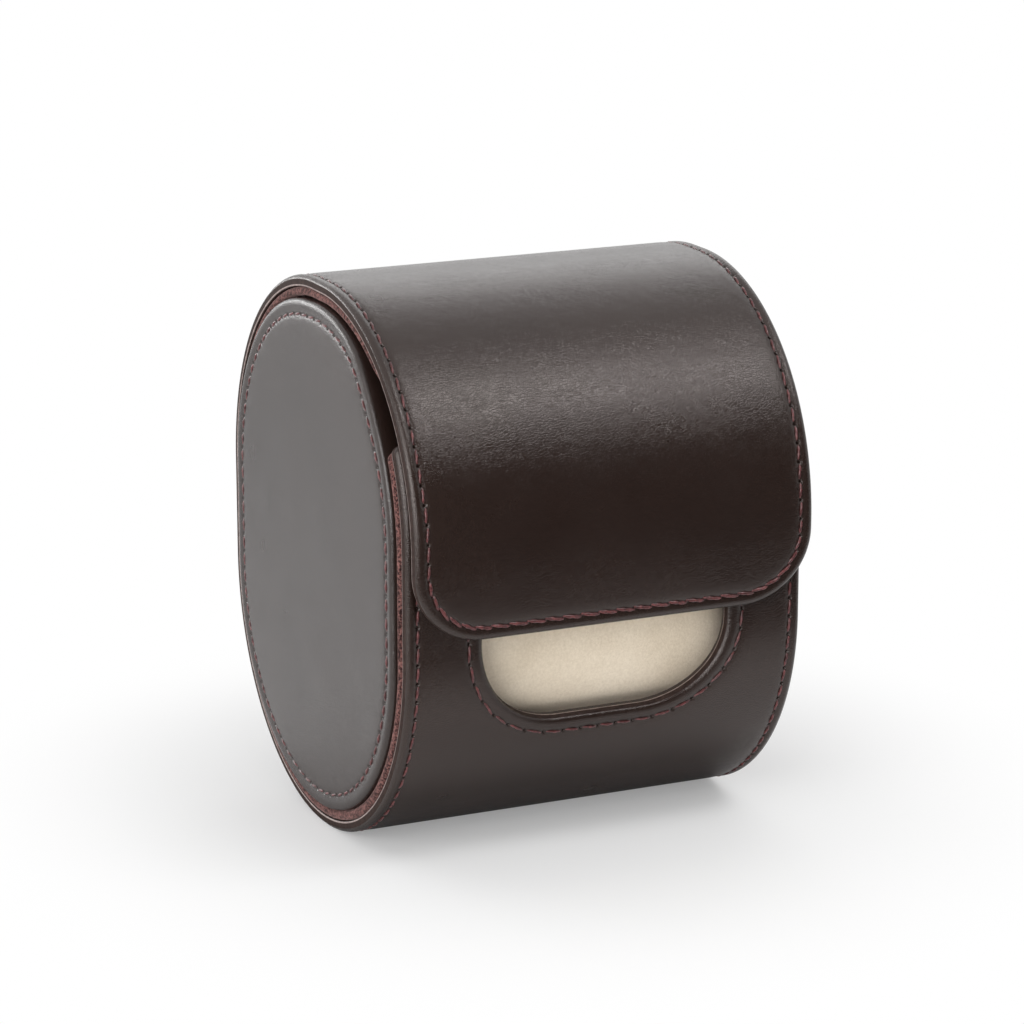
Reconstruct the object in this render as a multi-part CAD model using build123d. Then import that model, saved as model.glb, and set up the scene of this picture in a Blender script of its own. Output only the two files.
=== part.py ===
from build123d import *
import os
from math import asin, cos, degrees, radians, sin, sqrt

# Single-watch display roll: an oval barrel covered in leather lies along X and stands on a
# narrow flat. Its front faces -Y. A leather flap hinges high on the back, closes over the top
# and down the front. A suede cushion inside carries one watch and lifts out through the mouth.
# Millimetres, +Z up, origin at the centre of the base flat.

# ---------------------------------------------------------------- driving dimensions
# Barrel section, seen along X: two round caps joined by short straight sides
HEIGHT = 95.0
DEPTH = 78.0
WIDTH = 72.0
BASE_FLAT = 12.0            # the leather is flattened this wide where the barrel stands

# Layers of the barrel wall, from the outside in
LEATHER = 2.0
SHELL = 1.2
LINING = 0.6
GLUE = 0.05                 # glue line between layers

# Edges of the barrel wall
LINING_PROUD = 0.3          # the turned-out lining stands this far out of the leather's ends
LEATHER_BEVEL = 0.6         # leather edges are bevelled and burnished

# Mouth, measured round the section
MOUTH_ANGLE = 62.0          # front edge of the mouth, degrees forward from straight up
MOUTH_CORNER = 1.5
HINGE_DROP = 4.0            # the leather hinge crosses the back this far below the top cap
HINGE_FREE = 5.0            # no board this near the hinge line, so the leather can bend
HINGE_GAP = 0.2             # between the end faces of barrel and flap

# Notch in the front panel
CHEEK = 13.6                # width of the front panel left on each side of the notch
NOTCH_BOTTOM = 24.9
NOTCH_CORNER = 15.0
STRIP = 1.0                 # leather binding on the cut edge of shell and lining
STRIP_SETBACK = 0.2

# End panels
PANEL_PROUD = 1.0           # the panel stands this far out of the barrel
PANEL_LEATHER = 1.2
PANEL_TURN = 0.9            # leather turned round the rim of the board
PANEL_BEAD_WIDTH = 0.8      # the panel's rim falls away over this width
PANEL_BEAD_DROP = 0.5
PANEL_BOARD = 3.0
PANEL_LINING = 0.8

# Flap
FLAP_STEP = 4.0             # the flap stands this far in front of the barrel
FLAP_RECESS = 0.6           # board and lining stop this far inside the flap's leather edge
FLAP_BOARD_TOP = 0.9
FLAP_BOARD_TONGUE = 0.4
FLAP_LINING_TOP = 0.6
FLAP_LINING_TONGUE = 0.3
TONGUE_DROP = 14.0          # the flap's lower edge lies this far below the top cap
TONGUE_RADIUS = 100.0       # the tongue curves in towards the front panel
TONGUE_CORNER = 12.5

# Closure: flat magnets let into the shell, thin steel keepers let into the flap board
MAGNET_LENGTH = 7.0         # along X
MAGNET_WIDTH = 4.0
MAGNET_THICKNESS = 1.0
KEEPER_THICKNESS = 0.2
CLOSURE_DROP = 3.5          # their middles lie this far below the top cap
POCKET_GAP = 0.1

# Cushion, given by the room left round it
CUSHION_END_GAP = 2.0       # to the lining of each end
CUSHION_SIDE_GAP = 3.2      # its round top and bottom are this much smaller than the barrel's
CUSHION_REST = 0.4          # where it lies nearest to the lining
CUSHION_STRAIGHT = 4.8      # straight sides between its round top and bottom
CUSHION_FORWARD = 1.9       # it lies this far forward, close behind the notch
SUEDE = 1.2

# ---------------------------------------------------------------- derived sizes
CAP = DEPTH / 2
TOP_CENTRE = HEIGHT - CAP
BOTTOM_CENTRE = sqrt(CAP**2 - (BASE_FLAT / 2) ** 2)
WALL = LEATHER + SHELL + LINING
HALF = WIDTH / 2
LINING_HALF = HALF + LINING_PROUD
SHELL_HALF = LINING_HALF - LINING
FLAP_LINING_HALF = HALF - FLAP_RECESS
PANEL_FACE = HALF + PANEL_PROUD
BOARD_FACE = PANEL_FACE - PANEL_LEATHER
BOARD_BACK = BOARD_FACE - PANEL_BOARD
END_LINING_FACE = BOARD_BACK - PANEL_LINING
NOTCH_WIDTH = WIDTH - 2 * CHEEK
HINGE_HEIGHT = TOP_CENTRE - HINGE_DROP
TONGUE_TIP = TOP_CENTRE - TONGUE_DROP
CLOSURE_HEIGHT = TOP_CENTRE - CLOSURE_DROP
CLOSURE_OFFSET = (SHELL_HALF + NOTCH_WIDTH / 2 + STRIP) / 2  # middle of each cheek's shell
TONGUE_SWEEP = 2 * asin((TOP_CENTRE - TONGUE_TIP) / TONGUE_RADIUS)  # runs on below the tip
REACH = 2 * HEIGHT          # longer than anything that is cut
TOUCHING = 0.01             # surfaces nearer than this are the same one
THROUGH_WALL = 2 * WALL     # cuts right through one wall and stops short of the next

# A flap layer's surface is given by how deep it lies at the top and at the tongue
FLAP_OUTSIDE = (0.0, 0.0)
FLAP_UNDER_LEATHER = (LEATHER, LEATHER)
FLAP_UNDER_BOARD = (LEATHER + FLAP_BOARD_TOP, LEATHER + FLAP_BOARD_TONGUE)
FLAP_INSIDE = (FLAP_UNDER_BOARD[0] + FLAP_LINING_TOP, FLAP_UNDER_BOARD[1] + FLAP_LINING_TONGUE)

CUSHION_HALF = END_LINING_FACE - CUSHION_END_GAP
CUSHION_CAP = CAP - WALL - CUSHION_SIDE_GAP
CUSHION_SINK = sqrt((CUSHION_SIDE_GAP - CUSHION_REST) ** 2 - CUSHION_FORWARD**2)
CUSHION_LOW_CENTRE = BOTTOM_CENTRE - CUSHION_SINK
CUSHION_HIGH_CENTRE = CUSHION_LOW_CENTRE + CUSHION_STRAIGHT


# ---------------------------------------------------------------- outlines and slabs
def capsule(radius, top_centre, bottom_centre):
    """Face on the YZ plane: two round caps joined by straight sides."""
    top = CenterArc((0, top_centre), radius, 0, 180)
    front = Line(top @ 1, (-radius, bottom_centre))
    bottom = CenterArc((0, bottom_centre), radius, 180, 180)
    back = Line(bottom @ 1, top @ 0)
    return Plane.YZ * make_face([top, front, bottom, back])


def barrel_section(inset):
    return capsule(CAP - inset, TOP_CENTRE, BOTTOM_CENTRE)


def cushion_section(inset):
    face = capsule(CUSHION_CAP - inset, CUSHION_HIGH_CENTRE, CUSHION_LOW_CENTRE)
    return Pos(0, -CUSHION_FORWARD, 0) * face


def slab(face, low, high):
    """Extrude a face of the YZ plane from x = low to x = high."""
    return Pos(low, 0, 0) * extrude(face, amount=high - low, dir=(1, 0, 0))


def barrel_ring(outer_inset, inner_inset, half):
    face = barrel_section(outer_inset) - barrel_section(inner_inset)
    return slab(face, -half, half)


def end_edges(solid):
    """Edges of the two end faces of a slab."""
    by_x = solid.edges().group_by(Axis.X)
    return by_x[0] + by_x[-1]


def corner_waste(corner, into, radius):
    """What a rounded corner removes; `into` points from the corner into the material."""
    x, y = corner
    reach_x, reach_y = into[0] * radius, into[1] * radius
    square = Pos(x + reach_x / 2, y + reach_y / 2) * Rectangle(radius, radius)
    return square - Pos(x + reach_x, y + reach_y) * Circle(radius)


# ---------------------------------------------------------------- cutters for the barrel wall
def mouth(setback=0.0, hinge_setback=HINGE_GAP / 2):
    """Everything over the barrel's mouth: level cut at the hinge, square cut at the front."""
    angle = radians(MOUTH_ANGLE)
    ray = Vector(-sin(angle), cos(angle))
    down = Vector(-cos(angle), -sin(angle))
    start = Vector(0, TOP_CENTRE) + down * setback
    far = start + ray * REACH
    hinge = HINGE_HEIGHT - hinge_setback
    outline = Polyline(
        (0, hinge), (REACH, hinge), (REACH, REACH), (-REACH, REACH), far, start, close=True
    )
    return slab(Plane.YZ * make_face(outline), -REACH, REACH)


def mouth_corners(half, notch_half, radius, setback=0.0):
    """Waste of the four rounded corners where the front panel meets the mouth."""
    angle = radians(MOUTH_ANGLE)
    edge = (0, -CAP * sin(angle), TOP_CENTRE + CAP * cos(angle))
    along_wall = Plane(origin=edge, x_dir=(1, 0, 0), z_dir=(0, -sin(angle), cos(angle)))
    waste = []
    for side in (-1, 1):
        waste.append(corner_waste((side * half, -setback), (-side, -1), radius))
        waste.append(corner_waste((side * notch_half, -setback), (side, -1), radius))
    return [extrude(along_wall * face, amount=THROUGH_WALL, both=True) for face in waste]


def notch(widen=0.0):
    """U-shaped cut through the front wall, open at the mouth."""
    width = NOTCH_WIDTH + 2 * widen
    bottom = NOTCH_BOTTOM - widen
    outline = Pos(0, (bottom + HEIGHT) / 2) * Rectangle(width, HEIGHT - bottom)
    lower_corners = outline.vertices().group_by(Axis.Y)[0]
    outline = fillet(lower_corners, NOTCH_CORNER + widen)
    return extrude(Plane.XZ * outline, amount=REACH)


def block_pair(plane, thickness, gap=0.0):
    """Two flat blocks centred on the plane, left and right of the middle of the front."""
    face = Rectangle(MAGNET_LENGTH + 2 * gap, MAGNET_WIDTH + 2 * gap)
    faces = [Pos(side * CLOSURE_OFFSET, 0) * face for side in (-1, 1)]
    return [extrude(plane * face, amount=thickness / 2, both=True) for face in faces]


def pocket_pair(plane):
    """What the pockets of two blocks remove from the board that holds them."""
    return block_pair(plane, THROUGH_WALL, POCKET_GAP)


def below_ground():
    face = Pos(0, -REACH / 2) * Rectangle(REACH, REACH)
    return slab(Plane.YZ * face, -REACH, REACH)


def magnet_plane():
    depth = LEATHER + SHELL / 2
    return Plane(origin=(0, -(CAP - depth), CLOSURE_HEIGHT), x_dir=(1, 0, 0), z_dir=(0, -1, 0))


# ---------------------------------------------------------------- barrel
def make_outer_wrap():
    outside = slab(barrel_section(0), -HALF, HALF)
    outside = chamfer(end_edges(outside), LEATHER_BEVEL)
    wrap = outside - slab(barrel_section(LEATHER), -REACH, REACH)
    wrap = wrap - mouth() - notch() - below_ground()
    for waste in mouth_corners(HALF, NOTCH_WIDTH / 2, MOUTH_CORNER):
        wrap -= waste
    return wrap


def shell_space(glue):
    """Where the shell lies; the lining wraps this space, the shell fills it less the glue."""
    half = SHELL_HALF - glue
    setback = LINING + glue
    space = barrel_ring(LEATHER + glue, LEATHER + SHELL - glue, half)
    space = space - mouth(setback, HINGE_FREE) - notch(STRIP + glue)
    corner = MOUTH_CORNER - LINING
    for waste in mouth_corners(half, NOTCH_WIDTH / 2 + STRIP + glue, corner, setback):
        space -= waste
    return space


def make_barrel_shell():
    shell = shell_space(GLUE)
    for pocket in pocket_pair(magnet_plane()):
        shell -= pocket
    return shell


def make_barrel_lining():
    lining = barrel_ring(LEATHER + GLUE, WALL, LINING_HALF)
    lining = lining - mouth() - notch(STRIP + GLUE) - shell_space(0.0)
    for waste in mouth_corners(LINING_HALF, NOTCH_WIDTH / 2 + STRIP, MOUTH_CORNER):
        lining -= waste
    return lining


def make_notch_edge_strip():
    strip = barrel_ring(LEATHER + GLUE, WALL, SHELL_HALF)
    strip = strip - mouth(STRIP_SETBACK) - notch(STRIP_SETBACK)
    strip = strip & notch(STRIP)
    return strip


def make_front_magnets():
    return Compound(block_pair(magnet_plane(), MAGNET_THICKNESS))


# ---------------------------------------------------------------- end panels, +X side
def make_end_panel():
    inset = WALL + GLUE
    panel = slab(barrel_section(inset), BOARD_BACK, PANEL_FACE)
    face = panel.faces().sort_by(Axis.X)[-1]
    panel = chamfer(face.edges(), PANEL_BEAD_WIDTH, PANEL_BEAD_DROP, reference=face)
    return panel - slab(barrel_section(inset + PANEL_TURN), BOARD_BACK, BOARD_FACE)


def make_end_board():
    inset = WALL + GLUE + PANEL_TURN + GLUE
    return slab(barrel_section(inset), BOARD_BACK, BOARD_FACE - GLUE)


def make_end_lining():
    return slab(barrel_section(WALL + GLUE), END_LINING_FACE, BOARD_BACK - GLUE)


# ---------------------------------------------------------------- flap
def flap_path(depths):
    """Edges of one flap surface, up the back, over the top and down past the tongue's tip."""
    at_top, at_tongue = depths
    radius = CAP - at_top
    step = FLAP_STEP + at_top - at_tongue
    tongue = TONGUE_RADIUS - at_tongue
    tongue_middle = TONGUE_RADIUS - CAP - FLAP_STEP
    return [
        Line((radius, BOTTOM_CENTRE), (radius, TOP_CENTRE)),
        CenterArc((0, TOP_CENTRE), radius, 0, 90),
        Line((0, TOP_CENTRE + radius), (-step, TOP_CENTRE + radius)),
        CenterArc((-step, TOP_CENTRE), radius, 90, 90),
        CenterArc((tongue_middle, TOP_CENTRE), tongue, 180, degrees(TONGUE_SWEEP)),
    ]


def tongue_waste(half, corner, tip_setback):
    """What is cut off below the tongue's straight lower edge and its two round corners."""
    tip = TONGUE_TIP + tip_setback
    below = Pos(0, tip - TONGUE_CORNER) * Rectangle(REACH, 2 * TONGUE_CORNER)
    for side in (-1, 1):
        below += corner_waste((side * half, tip), (-side, 1), corner)
    return extrude(Plane.XZ * below, amount=REACH)


def below_hinge(setback):
    """Everything on the back below the flap's lower end."""
    face = Pos(REACH / 2, HINGE_HEIGHT + setback - REACH / 2) * Rectangle(REACH, REACH)
    return slab(Plane.YZ * face, -REACH, REACH)


def flap_layer(outer, inner, half, corner, hinge_setback=HINGE_GAP / 2, tip_setback=0.0):
    """The flap between two surfaces, with its lower corners rounded."""
    outside = flap_path(outer)
    inside = flap_path(inner)
    root = Line(outside[0] @ 0, inside[0] @ 0)
    tip = Line(outside[-1] @ 1, inside[-1] @ 1)
    layer = slab(Plane.YZ * make_face(outside + [tip] + inside + [root]), -half, half)
    return layer - below_hinge(hinge_setback) - tongue_waste(half, corner, tip_setback)


def flap_rim(leather):
    """Outer edges of the flap leather down both sides and round the tongue."""
    outside = Plane.YZ * Wire(flap_path(FLAP_OUTSIDE))
    rim = ShapeList()
    for edge in leather.edges():
        middle = edge @ 0.5
        on_outside = outside.distance_to(Vertex(0, middle.Y, middle.Z)) < TOUCHING
        crosses = edge.length > WIDTH - TOUCHING
        if on_outside and not crosses:
            rim.append(edge)
    return rim


def make_flap_leather():
    leather = flap_layer(FLAP_OUTSIDE, FLAP_UNDER_LEATHER, HALF, TONGUE_CORNER)
    return chamfer(flap_rim(leather), LEATHER_BEVEL)


def board_space(glue):
    """Where the flap board lies; the flap's lining wraps this space."""
    setback = FLAP_RECESS + LINING + glue
    outer = (FLAP_UNDER_LEATHER[0] + glue, FLAP_UNDER_LEATHER[1] + glue)
    inner = (FLAP_UNDER_BOARD[0] - glue, FLAP_UNDER_BOARD[1] - glue)
    corner = TONGUE_CORNER - setback
    return flap_layer(outer, inner, HALF - setback, corner, HINGE_FREE, setback)


def keeper_plane():
    """Mid-plane of the flap board at the height of the keepers."""
    depth = (FLAP_UNDER_LEATHER[1] + FLAP_UNDER_BOARD[1]) / 2
    radius = TONGUE_RADIUS - depth
    drop = TOP_CENTRE - CLOSURE_HEIGHT
    angle = asin(drop / radius)
    tongue_middle = TONGUE_RADIUS - CAP - FLAP_STEP
    origin = (0, tongue_middle - radius * cos(angle), CLOSURE_HEIGHT)
    return Plane(origin=origin, x_dir=(1, 0, 0), z_dir=(0, -cos(angle), -sin(angle)))


def make_flap_board():
    board = board_space(GLUE)
    for pocket in pocket_pair(keeper_plane()):
        board -= pocket
    return board


def make_flap_lining():
    outer = (FLAP_UNDER_LEATHER[0] + GLUE, FLAP_UNDER_LEATHER[1] + GLUE)
    corner = TONGUE_CORNER - FLAP_RECESS
    lining = flap_layer(outer, FLAP_INSIDE, FLAP_LINING_HALF, corner, tip_setback=FLAP_RECESS)
    return lining - board_space(0.0)


def make_flap_keepers():
    return Compound(block_pair(keeper_plane(), KEEPER_THICKNESS))


# ---------------------------------------------------------------- cushion
def make_cushion_sleeve():
    outside = slab(cushion_section(0), -CUSHION_HALF, CUSHION_HALF)
    return outside - slab(cushion_section(SUEDE), -REACH, REACH)


def make_cushion_core():
    half = CUSHION_HALF - SUEDE - GLUE
    return slab(cushion_section(SUEDE + GLUE), -half, half)


def make_cushion_end():
    return slab(cushion_section(SUEDE + GLUE), CUSHION_HALF - SUEDE, CUSHION_HALF)


# ---------------------------------------------------------------- all parts
def make_parts():
    end_pieces = {
        "end_panel": make_end_panel(),
        "end_board": make_end_board(),
        "end_lining": make_end_lining(),
        "cushion_end": make_cushion_end(),
    }
    parts = {
        "outer_wrap": make_outer_wrap(),
        "barrel_shell": make_barrel_shell(),
        "barrel_lining": make_barrel_lining(),
        "notch_edge_strip": make_notch_edge_strip(),
        "front_magnets": make_front_magnets(),
        "flap_leather": make_flap_leather(),
        "flap_board": make_flap_board(),
        "flap_lining": make_flap_lining(),
        "flap_keepers": make_flap_keepers(),
        "cushion_sleeve": make_cushion_sleeve(),
        "cushion_core": make_cushion_core(),
    }
    for name, piece in end_pieces.items():
        parts[name + "_right"] = piece
        parts[name + "_left"] = mirror(piece, Plane.YZ)
    return parts


os.makedirs("parts", exist_ok=True)
for name, shape in make_parts().items():
    export_step(shape, f"parts/{name}.step")
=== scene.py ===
import math

import bmesh
import bpy
import numpy as np
from mathutils import Matrix, Vector
from mathutils.geometry import delaunay_2d_cdt


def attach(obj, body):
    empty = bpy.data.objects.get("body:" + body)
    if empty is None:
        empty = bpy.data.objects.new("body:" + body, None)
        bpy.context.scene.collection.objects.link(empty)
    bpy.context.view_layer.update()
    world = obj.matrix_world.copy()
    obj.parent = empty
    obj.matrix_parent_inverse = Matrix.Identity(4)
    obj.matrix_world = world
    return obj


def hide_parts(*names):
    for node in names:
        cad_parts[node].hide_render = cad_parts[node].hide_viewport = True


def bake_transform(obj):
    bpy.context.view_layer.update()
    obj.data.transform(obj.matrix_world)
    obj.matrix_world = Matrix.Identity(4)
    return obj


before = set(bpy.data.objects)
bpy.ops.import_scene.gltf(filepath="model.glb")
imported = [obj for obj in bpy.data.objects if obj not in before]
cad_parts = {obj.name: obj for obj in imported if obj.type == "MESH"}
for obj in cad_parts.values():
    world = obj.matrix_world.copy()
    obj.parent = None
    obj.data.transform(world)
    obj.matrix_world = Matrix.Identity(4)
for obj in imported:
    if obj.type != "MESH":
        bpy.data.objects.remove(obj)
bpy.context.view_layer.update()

# Sizes in millimetres, as in the CAD source. The section lies in the YZ plane.
CAP = 39.0
HEIGHT = 95.0
HALF = 36.0
BASE_FLAT = 12.0
TOP_CENTRE = HEIGHT - CAP
LOW_CENTRE = math.sqrt(CAP**2 - (BASE_FLAT / 2) ** 2)
MOUTH_ANGLE = 62.0
MOUTH_CORNER = 1.5
FLAP_STEP = 4.0
TONGUE_RADIUS = 100.0
TONGUE_TIP = 42.0
TONGUE_CORNER = 12.5
NOTCH_HALF = 22.4
NOTCH_BOTTOM = 24.9
NOTCH_CORNER = 15.0
LEATHER = 2.0
WALL = 3.8
FLAP_DEPTH_TOP = 3.5
FLAP_DEPTH_TONGUE = 2.7
GLUE = 0.05
LINING_PROUD = 0.3
STRIP = 1.0
PANEL_FACE = 37.0
PANEL_BACK = 32.8
HINGE_Z = 52.0
SEAM_LOW = 48.0     # the hide is split here on the back, so that it can bend at the hinge
SEAM_HIGH = 56.0

STITCH_PITCH = 3.2
STEPS = 9           # outline points to each stitch
ARC_STEP = 0.2      # spacing of the points that an outline's arcs are made of
SIDE_POINTS = 400   # points along each long side of the hide
FAR = 1e9           # past either end of the hide
BLOCK = 4000        # points compared at a time
M = 0.001           # one millimetre in metres


def rise(value, start, run):
    """0 up to start and 1 from start + run on, smoothly in between."""
    t = np.clip((value - start) / run, 0, 1)
    return t * t * (3 - 2 * t)


# ---------------------------------------------------------------- the section as a line
class Path:
    """Runs and arcs in the YZ plane, measured by length."""

    def __init__(self):
        self.parts = []
        self.length = 0.0

    def line(self, a, b):
        size = math.dist(a, b)
        self.parts.append((self.length, size, "line", (a, b)))
        self.length += size

    def arc(self, centre, radius, start, sweep):
        size = math.radians(sweep) * radius
        self.parts.append((self.length, size, "arc", (centre, radius, math.radians(start))))
        self.length += size

    def at(self, s):
        """Points and outward normals at lengths s."""
        s = np.asarray(s, float)
        point = np.zeros(s.shape + (2,))
        normal = np.zeros(s.shape + (2,))
        last = len(self.parts) - 1
        for i, (start, size, kind, data) in enumerate(self.parts):
            here = (s >= start) if i else np.ones(s.shape, bool)
            if i < last:
                here = here & (s < start + size)
            t = s[here] - start
            if kind == "line":
                a, b = np.array(data[0], float), np.array(data[1], float)
                d = (b - a) / size
                point[here] = a + t[:, None] * d
                normal[here] = (d[1], -d[0])
            else:
                (cy, cz), radius, first = data
                angle = first + t / radius
                n = np.stack([np.cos(angle), np.sin(angle)], -1)
                point[here] = np.array((cy, cz)) + radius * n
                normal[here] = n
        return point, normal


def hide_path():
    """The outside of the leather: down the front, under, up the back, over the top, down."""
    p = Path()
    p.arc((0, TOP_CENTRE), CAP, 90 + MOUTH_ANGLE, 90 - MOUTH_ANGLE)
    p.line((-CAP, TOP_CENTRE), (-CAP, LOW_CENTRE))
    p.arc((0, LOW_CENTRE), CAP, 180, 180)
    p.line((CAP, LOW_CENTRE), (CAP, TOP_CENTRE))
    p.arc((0, TOP_CENTRE), CAP, 0, 90)
    p.line((0, HEIGHT), (-FLAP_STEP, HEIGHT))
    p.arc((-FLAP_STEP, TOP_CENTRE), CAP, 90, 90)
    sweep = math.degrees(math.asin((TOP_CENTRE - TONGUE_TIP) / TONGUE_RADIUS))
    p.arc((TONGUE_RADIUS - CAP - FLAP_STEP, TOP_CENTRE), TONGUE_RADIUS, 180, sweep)
    return p


HIDE = hide_path()
STARTS = [part[0] for part in HIDE.parts]
S_FRONT_STRAIGHT, S_FRONT_LOW, S_BACK_STRAIGHT = STARTS[1:4]
S_FLAP_FRONT, S_TONGUE = STARTS[6:8]
S_SEAM_LOW = S_BACK_STRAIGHT + SEAM_LOW - LOW_CENTRE
S_SEAM_HIGH = S_BACK_STRAIGHT + SEAM_HIGH - LOW_CENTRE
S_HINGE = S_BACK_STRAIGHT + HINGE_Z - LOW_CENTRE


def front_length(z):
    """Length along the hide at height z on the front panel."""
    if z >= LOW_CENTRE:
        return S_FRONT_STRAIGHT + TOP_CENTRE - z
    return S_FRONT_LOW + CAP * math.asin((LOW_CENTRE - z) / CAP)


def tongue_length(z):
    return S_TONGUE + TONGUE_RADIUS * math.asin((TOP_CENTRE - z) / TONGUE_RADIUS)


def on_hide(flat, depth):
    """Points of the hide: flat is (length, x), depth is below the outside."""
    point, normal = HIDE.at(flat[:, 0])
    yz = point - normal * np.asarray(depth)[..., None]
    height = np.maximum(yz[:, 1], 0.0)      # flattened where it stands
    return np.stack([flat[:, 1], yz[:, 0], height], -1)


def on_end(side):
    """Mapping for an end panel: flat is (y, z), depth is below its face."""
    def place(flat, depth):
        x = side * (PANEL_FACE - np.broadcast_to(depth, (len(flat),)))
        return np.stack([x, flat[:, 0], flat[:, 1]], -1)
    return place


# ---------------------------------------------------------------- outlines
def arc_points(centre, radius, start, sweep, to_flat=lambda p: p):
    n = max(2, int(abs(math.radians(sweep)) * radius / ARC_STEP))
    out = []
    for i in range(n + 1):
        a = math.radians(start + sweep * i / n)
        out.append(to_flat((centre[0] + radius * math.cos(a), centre[1] + radius * math.sin(a))))
    return out


def mirrored(points):
    """Closes an outline of (length, x) that is given for x from 0 upwards."""
    return points + [(a, -b) for a, b in reversed(points) if b > 1e-6]


def hide_outline(side=lambda s: HALF, tip_inset=0.0, widen=0.0, drop=0.0):
    """Outline of a whole layer of the hide, from the middle of the tongue's tip. side gives
    its half width at each length, and drop how far it stops short of the mouth."""
    corner = MOUTH_CORNER
    notch = NOTCH_HALF + widen
    bottom = NOTCH_BOTTOM - widen
    radius = NOTCH_CORNER + widen
    tip = TONGUE_TIP + tip_inset
    points = [(tongue_length(tip), 0.0)]
    centre = (HALF - TONGUE_CORNER, TONGUE_TIP + TONGUE_CORNER)
    points += arc_points(centre, TONGUE_CORNER - tip_inset, 270, 90,
                         lambda p: (tongue_length(p[1]), p[0]))
    top = points[-1][0]
    start = corner + drop
    half = side(start)
    points += [(s, side(s)) for s in np.linspace(top, start, SIDE_POINTS)[1:-1]]
    points += arc_points((half - corner, start), corner, 0, -90, lambda p: (p[1], p[0]))
    points += arc_points((notch + corner, start), corner, -90, -90, lambda p: (p[1], p[0]))
    points += arc_points((notch - radius, bottom + radius), radius, 0, -90,
                         lambda p: (front_length(p[1]), p[0]))
    points += [(front_length(bottom), 0.0)]
    return mirrored(points)


def oval_outline(inset, fuller):
    """The ends' oval; fuller lists (angle forward of straight up, how far it swells)."""
    points = []
    for y, z in arc_points((0, TOP_CENTRE), CAP - inset, 0, 180):
        swell = 1 + np.interp(math.degrees(math.atan2(-y, z - TOP_CENTRE)), *zip(*fuller)) / CAP
        points.append((y * swell, TOP_CENTRE + (z - TOP_CENTRE) * swell))
    return points + arc_points((0, LOW_CENTRE), CAP - inset, 180, 180)


class Outline:
    """A closed line of evenly spaced points, with the direction inwards at each."""

    def __init__(self, points, smooth=1):
        p = [points[0]]
        for q in points[1:]:
            if math.dist(p[-1], q) > 1e-4:
                p.append(q)
        if math.dist(p[0], p[-1]) < 1e-4:
            p.pop()
        p = np.array(p, float)
        if self.area(p) < 0:
            p = p[::-1]
        closed = np.vstack([p, p[:1]])
        length = np.r_[0, np.cumsum(np.hypot(*np.diff(closed, axis=0).T))]
        n = round(length[-1] / STITCH_PITCH) * STEPS
        at = np.arange(n) * length[-1] / n
        self.points = np.stack([np.interp(at, length, closed[:, i]) for i in (0, 1)], -1)
        tangent = np.roll(self.points, -1, 0) - np.roll(self.points, 1, 0)
        for _ in range(smooth):
            tangent = (np.roll(tangent, 1, 0) + 2 * tangent + np.roll(tangent, -1, 0)) / 4
        tangent /= np.hypot(*tangent.T)[:, None]
        self.inward = np.stack([-tangent[:, 1], tangent[:, 0]], -1)

    @staticmethod
    def area(p):
        q = np.roll(p, -1, 0)
        return 0.5 * np.sum(p[:, 0] * q[:, 1] - q[:, 0] * p[:, 1])

    def ring(self, d):
        return self.points + self.inward * np.asarray(d).reshape(-1, 1)

    def distance(self, p):
        out = np.empty(len(p))
        for i in range(0, len(p), BLOCK):
            block = p[i:i + BLOCK]
            d = np.hypot(block[:, None, 0] - self.points[None, :, 0],
                         block[:, None, 1] - self.points[None, :, 1])
            out[i:i + BLOCK] = d.min(1)
        return out


# ---------------------------------------------------------------- plates
# Height of a sewn leather face against its distance from the edge, which is given in
# stitch offsets: a burnished round, a bead, the groove that the thread lies in.
SEWN = [(0.09, -0.46), (0.15, -0.32), (0.22, -0.2), (0.34, -0.07), (0.48, 0.0), (0.62, -0.03),
        (0.76, -0.11), (0.88, -0.22), (1.0, -0.28), (1.12, -0.22), (1.27, -0.11), (1.5, -0.04),
        (2.0, 0.0)]
# A needle hole: (radius, points round it, depth).
HOLE = [(0.0, 1, 0.75), (0.11, 6, 0.62), (0.2, 8, 0.12)]
HOLE_CLEAR = 0.27   # no other point of the face lies nearer to a needle hole
RING_SLACK = 0.04   # a ring's points may lie this much nearer to the edge than they should
GRID = 2.0          # spacing of the points inside a face
GRID_BELOW = 3.0    # and of those inside an underside
CUT_FACE = 1        # material slot of the leather's cut face where the hide is split


def hole_points(holes):
    """Points of the needle holes and how deep each lies below the face."""
    points, depth = [], []
    for radius, count, sink in HOLE:
        for k in range(count):
            turn = 2 * math.pi * k / count
            points.append(holes + radius * np.array((math.cos(turn), math.sin(turn))))
            depth.append(np.full(len(holes), sink))
    return np.vstack(points), np.concatenate(depth)


def interior_grid(outline, keep, pitch, cuts=()):
    """A staggered grid of points further than `keep` from the outline, clear of the cuts."""
    low, high = outline.points.min(0), outline.points.max(0)
    rows = np.arange(low[0] + pitch, high[0], pitch)
    columns = np.arange(low[1] + pitch, high[1], pitch)
    a, b = np.meshgrid(rows, columns, indexing="ij")
    b = b + (np.arange(len(rows))[:, None] % 2) * pitch / 2
    p = np.stack([a.ravel(), b.ravel()], -1)
    for cut in cuts:
        p = p[abs(p[:, 0] - cut) > 0.5 * pitch]
    inside = points_inside(p, outline.points)
    p = p[inside]
    return p[outline.distance(p) > keep]


def cut_points(outline, keep, pitch, cuts):
    """Points along the cuts, further than `keep` from the outline."""
    x = np.arange(-HALF, HALF, pitch)
    p = np.array([(cut, v) for cut in cuts for v in x]).reshape(-1, 2)
    return p[(outline.distance(p) > keep) & (abs(p[:, 1]) < HALF - keep)]


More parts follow.
